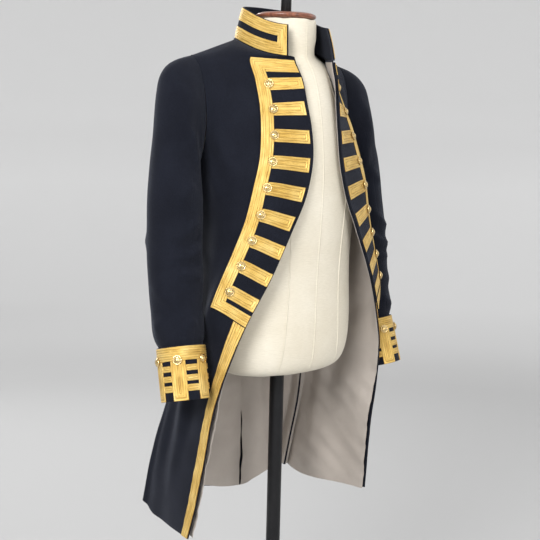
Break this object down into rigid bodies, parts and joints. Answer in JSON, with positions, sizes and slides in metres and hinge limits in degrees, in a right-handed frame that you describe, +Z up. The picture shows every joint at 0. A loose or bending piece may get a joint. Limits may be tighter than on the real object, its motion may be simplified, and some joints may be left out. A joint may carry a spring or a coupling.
{
  "type": "frock coat on a dress form",
  "caption": "Open navy frock coat with gold-laced lapels, collar and cuffs, worn by a limbless dress form on a pole and round base.",
  "frame": {"origin": "on the floor, at the centre of the base's flat underside, on the axis of the pole", "axes": "+Z up along the pole; the coat faces -Y; the wearer's left is at +X"},
  "size_m": [0.6094, 0.3492, 1.6026],
  "materials": {
    "navy_cloth": "matt navy wool broadcloth",
    "gold_lace": "ribbed gold lace with a metallic sheen",
    "brass_button": "polished domed button",
    "lining": "plain cream twill",
    "form_linen": "matt linen cover",
    "cap_wood": "satin varnished reddish wood",
    "black_metal": "satin black paint"
  },
  "bodies": {
    "root": {"back_left": "navy_cloth", "back_lining_left": "lining", "back_lining_right": "lining", "back_right": "navy_cloth", "base": "black_metal", "collar": "navy_cloth", "collar_lace": "gold_lace", "cuff_button_left_1": "brass_button", "cuff_button_left_2": "brass_button", "cuff_button_left_3": "brass_button", "cuff_button_left_4": "brass_button", "cuff_button_right_1": "brass_button", "cuff_button_right_2": "brass_button", "cuff_button_right_3": "brass_button", "cuff_button_right_4": "brass_button", "cuff_lace_left": "gold_lace", "cuff_lace_right": "gold_lace", "cuff_left": "navy_cloth", "cuff_right": "navy_cloth", "form_body": "form_linen", "front_left": "navy_cloth", "front_lining_left": "lining", "front_lining_right": "lining", "front_right": "navy_cloth", "lapel_button_left_1": "brass_button", "lapel_button_left_2": "brass_button", "lapel_button_left_3": "brass_button", "lapel_button_left_4": "brass_button", "lapel_button_left_5": "brass_button", "lapel_button_left_6": "brass_button", "lapel_button_left_7": "brass_button", "lapel_button_left_8": "brass_button", "lapel_button_left_9": "brass_button", "lapel_button_right_1": "brass_button", "lapel_button_right_2": "brass_button", "lapel_button_right_3": "brass_button", "lapel_button_right_4": "brass_button", "lapel_button_right_5": "brass_button", "lapel_button_right_6": "brass_button", "lapel_button_right_7": "brass_button", "lapel_button_right_8": "brass_button", "lapel_button_right_9": "brass_button", "lapel_lace_left": "gold_lace", "lapel_lace_right": "gold_lace", "lapel_left": "navy_cloth", "lapel_right": "navy_cloth", "neck_cap": "cap_wood", "pole": "black_metal", "skirt_lace_left": "gold_lace", "skirt_lace_right": "gold_lace", "top_rod": "black_metal", "topsleeve_left": "navy_cloth", "topsleeve_right": "navy_cloth", "undersleeve_left": "navy_cloth", "undersleeve_right": "navy_cloth"}
  },
  "joints": []
}
